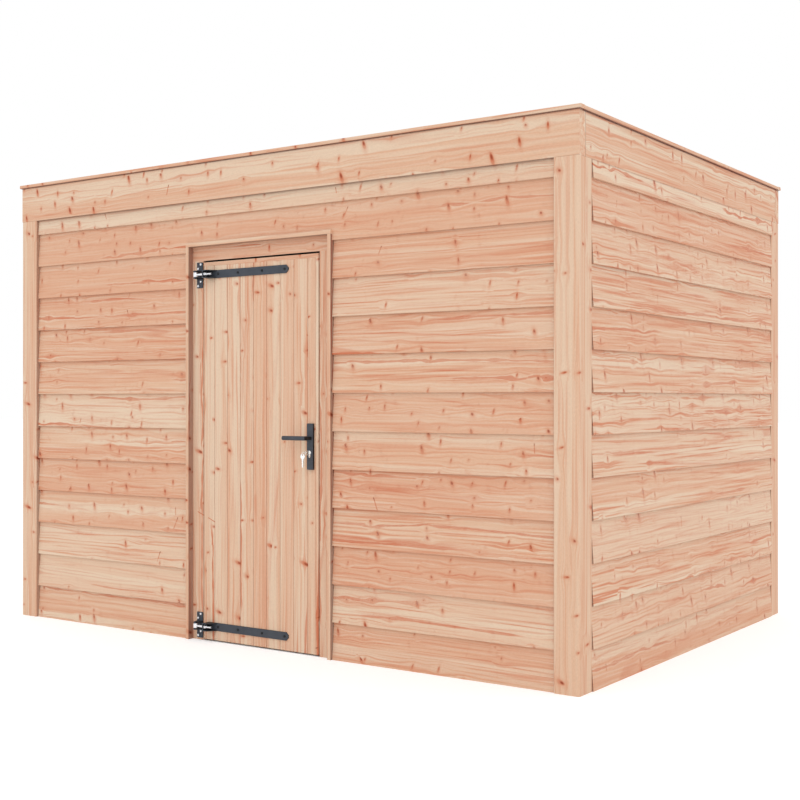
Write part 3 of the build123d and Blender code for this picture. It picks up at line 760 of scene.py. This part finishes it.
# ---------------------------------------------------------------- hinges
# Steel jamb plates and straps in black powder coat; zinc-plated eyebolts with nuts. The plates are
# screwed to the jamb with bright screws and the straps to the planks with black ones.
def powder_coat():
    """Matt powder coat: a little dust in the colour, and Peel, the height of a fine orange peel.
    Faces that look along an axis for which Sides has 1 take a darker colour: painted shade."""
    inputs = (
        ("Place", "Vector"),
        ("Facing", "Vector"),
        ("Sides", "Vector"),
        ("Color", "Color"),
        ("Side Color", "Color"),
    )
    group, given, result = new_group("powder coat", inputs, (("Color", "Color"), ("Peel", "Float")))
    # Painted shade: faces that look along the chosen axes take the darker colour.
    looks = vector_maths(group, "MULTIPLY", given["Facing"], given["Sides"])
    looks = add(group, "SeparateXYZ", vector_maths(group, "ABSOLUTE", looks)).outputs
    turned = maths(group, "MAXIMUM", maths(group, "MAXIMUM", looks[0], looks[1]), looks[2])
    turned = ramp(group, turned, 0.55, 0.85, 0.0, 1.0)
    shade = mix(group, turned, given["Color"], given["Side Color"])
    dust = maths(group, "MULTIPLY_ADD", noise(group, given["Place"], 25, 5), 0.5, 0.75)
    group.links.new(vector_maths(group, "SCALE", shade, dust), result["Color"])
    group.links.new(noise(group, given["Place"], 900), result["Peel"])
    return group


powder = powder_coat()


def coated(name, color, painted_shade_color, sides, roughness):
    """A finish of powder coat, with painted shade on the faces that look along the axes marked in
    sides.
    """
    made, tree, shader, place = new_finish(name)
    values = {"Place": place["Object"], "Facing": place["Normal"], "Sides": sides}
    coat = placed(tree, powder, {**values, "Color": color, "Side Color": painted_shade_color})
    tree.links.new(coat["Color"], shader["Base Color"])
    tree.links.new(bump(tree, coat["Peel"], 0.2, 0.0002), shader["Normal"])
    shader["Roughness"].default_value = roughness
    shader["Specular IOR Level"].default_value = 0.25
    return made


def screw_heads(name, centres, radius, rise, out, body, finish):
    """Domed heads with a six-lobed recess, on a grid of rings and angles. Out of the plate a head
    rises as the square root of 1 less the square of the ring number; the recess sinks it where the
    ring is inside 0.34 + 0.08 cos of six times the angle. A last ring goes down to the plate. Out
    is 1 or -1, the side of the plate that the heads look to along Y."""
    rings, spokes = 12, 24
    rim_share, dome_share, dome_reach = 0.35, 0.65, 0.97
    recess, lobe, recess_deep, sunk = 0.34, 0.08, 0.55, 0.0005
    turns = np.arange(spokes) * 2 * np.pi / spokes
    ring, spoke = np.meshgrid(np.linspace(0, 1, rings), turns, indexing="ij")
    high = rise * (rim_share + dome_share * np.sqrt(1 - (dome_reach * ring) ** 2))
    high = np.where(ring < recess + lobe * np.cos(6 * spoke), high - recess_deep * rise, high)
    high = np.concatenate((high, np.full((1, spokes), -sunk)))
    far = radius * np.concatenate((ring, ring[-1:]))
    turn = np.concatenate((spoke, spoke[-1:]))
    points = np.stack((far * np.cos(turn), out * high, far * np.sin(turn)), 2)
    points = np.concatenate((points[1:].reshape(-1, 3), points[0, :1]))

    # Quads between the rings, a fan round the middle point and one flat face under the head.
    across = np.arange(rings * spokes).reshape(rings, spokes)
    inner, outer = across[:-1], across[1:]
    quads = np.stack((inner, outer, np.roll(outer, -1, 1), np.roll(inner, -1, 1)), 2)
    quads = quads.reshape(-1, 4)
    middle = np.full(spokes, rings * spokes)
    fan = np.stack((middle, across[0], np.roll(across[0], -1)), 1)
    base = across[-1][::-1]
    faces = []
    for number in range(len(centres)):
        first = number * len(points)
        for part in (quads, fan, base[None, :]):
            faces += [face[::-out] for face in (part + first).tolist()]
    corners = (points[None] + np.array(centres)[:, None]).reshape(-1, 3)
    mesh = bpy.data.meshes.new(name)
    mesh.from_pydata(corners.tolist(), [], faces)
    mesh.materials.append(finish)
    heads = put(name, mesh)
    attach(heads, body)


# The second colour of each coat is painted shade, on the ends and edges that look along X and Z.
shaded_ends_and_edges = (1, 0, 1)
hinge_black = coated("hinge powder coat", srgb(68, 73, 81), srgb(30, 31, 33), shaded_ends_and_edges, 0.5)
screw_black = coated("screw powder coat", srgb(40, 42, 46), srgb(24, 25, 27), shaded_ends_and_edges, 0.35)
plated = {"detail": 4, "metal": 1.0, "uneven": 0.12}
zinc = clouded("zinc plate", srgb(222, 225, 230), srgb(250, 251, 253), 0.22, scale=90, **plated)
dress(hinge_black, "hinge_brackets", "hinge_straps")
dress(zinc, "hinge_eyebolts")

stop_wide = 0.012
plate_wide, plate_high, plate_thick = 0.040, 0.130, 0.004
strap_thick = 0.005
screw_radius = 0.0065
bracket_low, bracket_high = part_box("hinge_brackets")
strap_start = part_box("hinge_straps")[0].x
leaf_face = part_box("door_planks")[0].y
plate_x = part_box("door_jamb_hinge_side")[1].x - stop_wide - plate_wide / 2
hinge_levels = (bracket_low.z + plate_high / 2, bracket_high.z - plate_high / 2)
jamb_screws = [
    (plate_x + across, leaf_face - plate_thick, level + up)
    for level in hinge_levels
    for across, up in ((0.006, 0.055), (-0.012, 0.033), (0.006, -0.031), (-0.012, -0.054))
]
strap_screws = [
    (strap_start + along, leaf_face - strap_thick, level)
    for level in hinge_levels
    for along in (0.069, 0.200, 0.358, 0.502)
]
screw_heads("jamb_plate_screws", jamb_screws, screw_radius, 0.004, -1, "shed", zinc)
screw_heads(
    "strap_screws", strap_screws, screw_radius, 0.0045, -1, "door", screw_black
)


# ---------------------------------------------------------------- lock
# A black powder-coated plate on each side of the leaf, screwed to it, with a lever of the same
# coat. The cylinder, its two keys and the ring they hang on are nickel plated.
# The second colour of the coat is painted shade, on the faces that look along X.
shaded_long_edges = (1, 0, 0)
lock_black = coated("lock powder coat", srgb(70, 74, 81), srgb(26, 26, 28), shaded_long_edges, 0.45)
nickel = clouded("satin nickel", srgb(232, 232, 230), srgb(253, 253, 252), 0.2, scale=120, **plated)
dress(lock_black, "lock_plate_outside", "lock_plate_inside", "lever_handle")
dress(nickel, "lock_cylinder", "keys")

lock_plate_thick = 0.011
screw_from_end = 0.014
inside_low, inside_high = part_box("lock_plate_inside")
inside_x = (inside_low.x + inside_high.x) / 2
inside_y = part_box("door_stiles")[1].y + lock_plate_thick
inside_screws = [
    (inside_x, inside_y, level)
    for level in (inside_low.z + screw_from_end, inside_high.z - screw_from_end)
]
screw_heads("lock_plate_screws", inside_screws, 0.0045, 0.002, 1, "door", screw_black)
